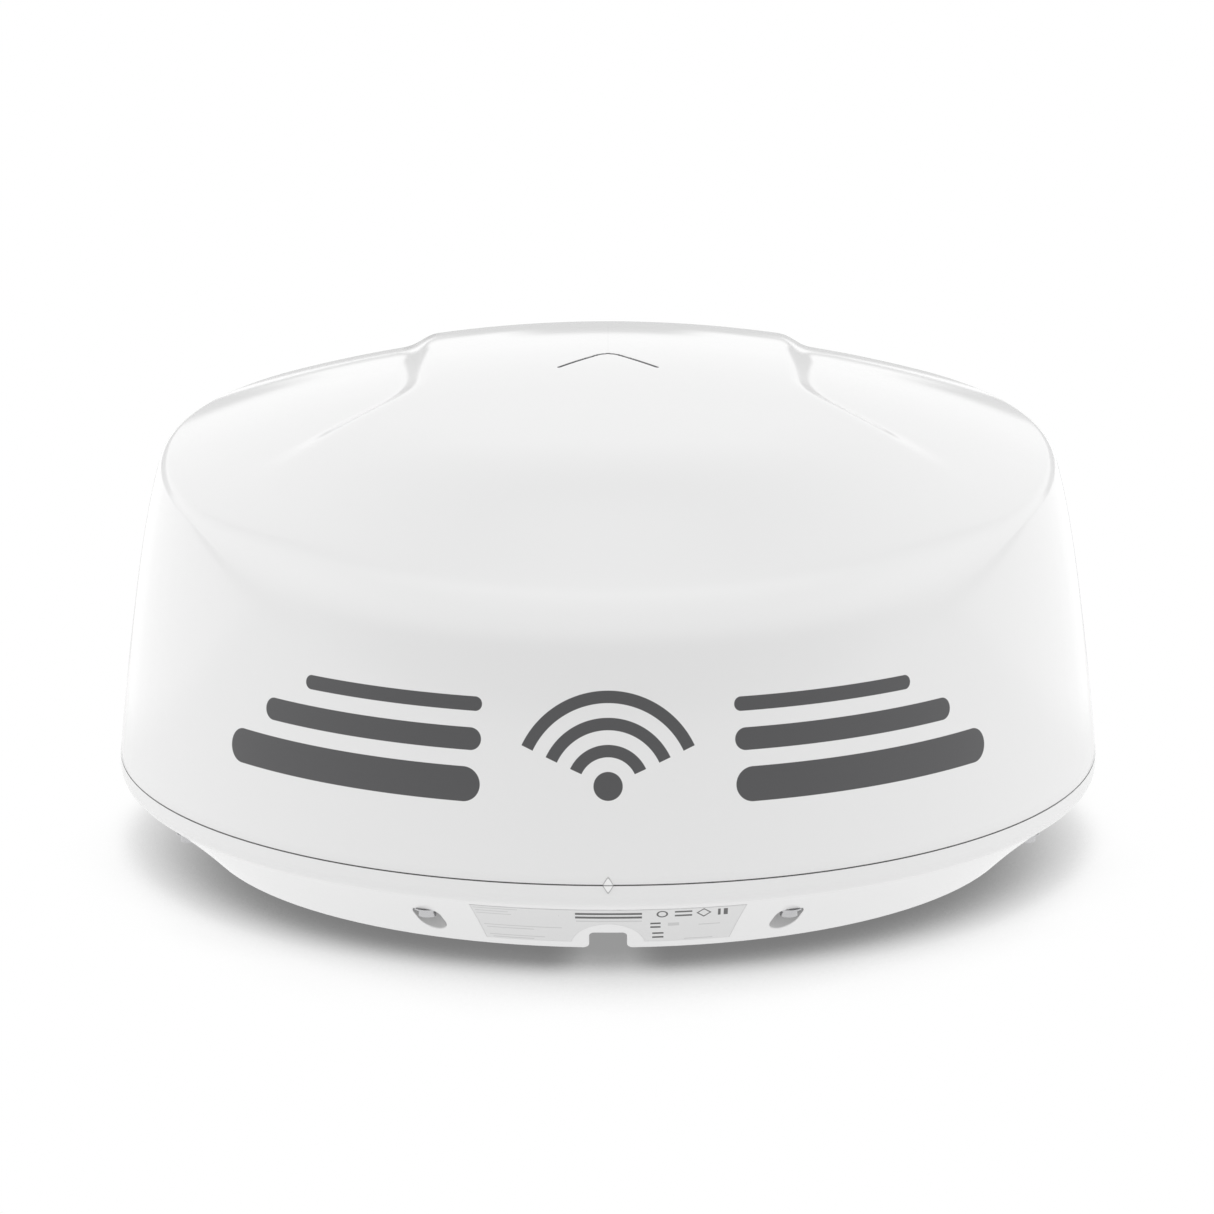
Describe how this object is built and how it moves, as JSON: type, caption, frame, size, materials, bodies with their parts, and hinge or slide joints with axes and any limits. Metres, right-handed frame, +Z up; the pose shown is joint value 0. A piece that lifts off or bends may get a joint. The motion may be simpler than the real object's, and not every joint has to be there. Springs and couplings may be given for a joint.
{
  "type": "radar dome antenna",
  "caption": "Enclosed marine radar: a white moulded dome over a foot pan, with a belt-driven turntable that spins a flat array antenna on a bearing pedestal.",
  "frame": {"origin": "centre of the foot plane, the flat ring the unit stands on", "axes": "+Z up along the antenna's spin axis, +Y to the bow, -Y to the stern, where the cable outlet, rating label and seam alignment marks are"},
  "size_m": [0.5066, 0.507, 0.2485],
  "materials": {
    "radome_white": "gloss white, faint moulding texture",
    "pan_white": "semi-gloss white",
    "gasket_rubber": "matt",
    "stainless": "bright stainless",
    "brass": "machined",
    "dark_plastic": "matt",
    "nylon": "natural nylon",
    "cast_alloy": "cast, bead blasted",
    "sheet_alloy": "brushed sheet",
    "bearing_steel": "ground and polished",
    "motor_black": "satin black laminations",
    "circuit_green": "solder mask",
    "component_black": "moulded epoxy",
    "copper_trace": "plated copper",
    "belt_rubber": "ribbed",
    "cable_black": "sleeved",
    "cable_grey": "sleeved",
    "label_grey": "satin film",
    "foam_grey": "rigid foam",
    "cover_abs": "satin",
    "ferrite": "sintered"
  },
  "bodies": {
    "base": {"bearing_outer_races": "bearing_steel", "board_components": "component_black", "board_posts": "nylon", "cable_cover": "dark_plastic", "cable_cover_screws": "stainless", "chassis_screws": "stainless", "circlip": "bearing_steel", "coax_cable": "cable_black", "cover_screws": "stainless", "drive_belt": "belt_rubber", "driver_board": "circuit_green", "foot_pan": "pan_white", "index_sensor": "circuit_green", "lid_screws": "stainless", "main_board": "circuit_green", "motor_bracket": "sheet_alloy", "motor_case": "motor_black", "motor_harness": "cable_black", "mount_inserts": "brass", "network_harness": "cable_grey", "network_socket": "dark_plastic", "pedestal": "cast_alloy", "pedestal_screws": "stainless", "power_harness": "cable_black", "power_socket": "dark_plastic", "rating_label": "label_grey", "rotary_joint_stator": "brass", "screw_seals": "gasket_rubber", "seal_gasket": "gasket_rubber", "shield_can": "stainless", "socket_contacts": "brass", "socket_nuts": "brass", "transceiver_board": "circuit_green", "transceiver_lid": "cast_alloy", "transceiver_tray": "cast_alloy", "vent_plug": "dark_plastic"},
    "cover": {"dome_cover": "radome_white", "cover_inserts": "brass"},
    "antenna": {"spindle": "stainless", "bearing_inner_races": "bearing_steel", "bearing_spacer": "sheet_alloy", "spindle_nut": "stainless", "driven_pulley": "sheet_alloy", "turntable": "sheet_alloy", "turntable_screws": "stainless", "index_magnet": "ferrite", "rotary_joint_rotor": "brass", "array_saddle": "sheet_alloy", "array_frame": "sheet_alloy", "array_screws": "stainless", "array_cover": "cover_abs", "array_board": "circuit_green", "array_spacers": "foam_grey", "radiating_patches": "copper_trace", "counterweight": "bearing_steel", "feed_cable": "cable_black"},
    "motor_rotor": {"motor_shaft": "stainless", "motor_pulley": "sheet_alloy"},
    "bearing_set": {"bearing_balls": "bearing_steel", "bearing_cages": "brass"}
  },
  "joints": [
    {"name": "cover_lift", "type": "slide", "parent": "base", "child": "cover", "axis": [0, 0, 1], "range_m": [0, 0.16]},
    {"name": "antenna_spin", "type": "hinge", "parent": "base", "child": "antenna", "pos_m": [0, 0, 0.06], "axis": [0, 0, 1], "continuous": true},
    {"name": "motor_spin", "type": "hinge", "parent": "base", "child": "motor_rotor", "pos_m": [0.095, 0, 0.06], "axis": [0, 0, 1], "continuous": true},
    {"name": "bearing_roll", "type": "hinge", "parent": "base", "child": "bearing_set", "pos_m": [0, 0, 0.057], "axis": [0, 0, 1], "continuous": true}
  ],
  "couplings": [
    {"joint": "motor_spin", "follows": "antenna_spin", "ratio": 6},
    {"joint": "bearing_roll", "follows": "antenna_spin", "ratio": 0.41667}
  ]
}
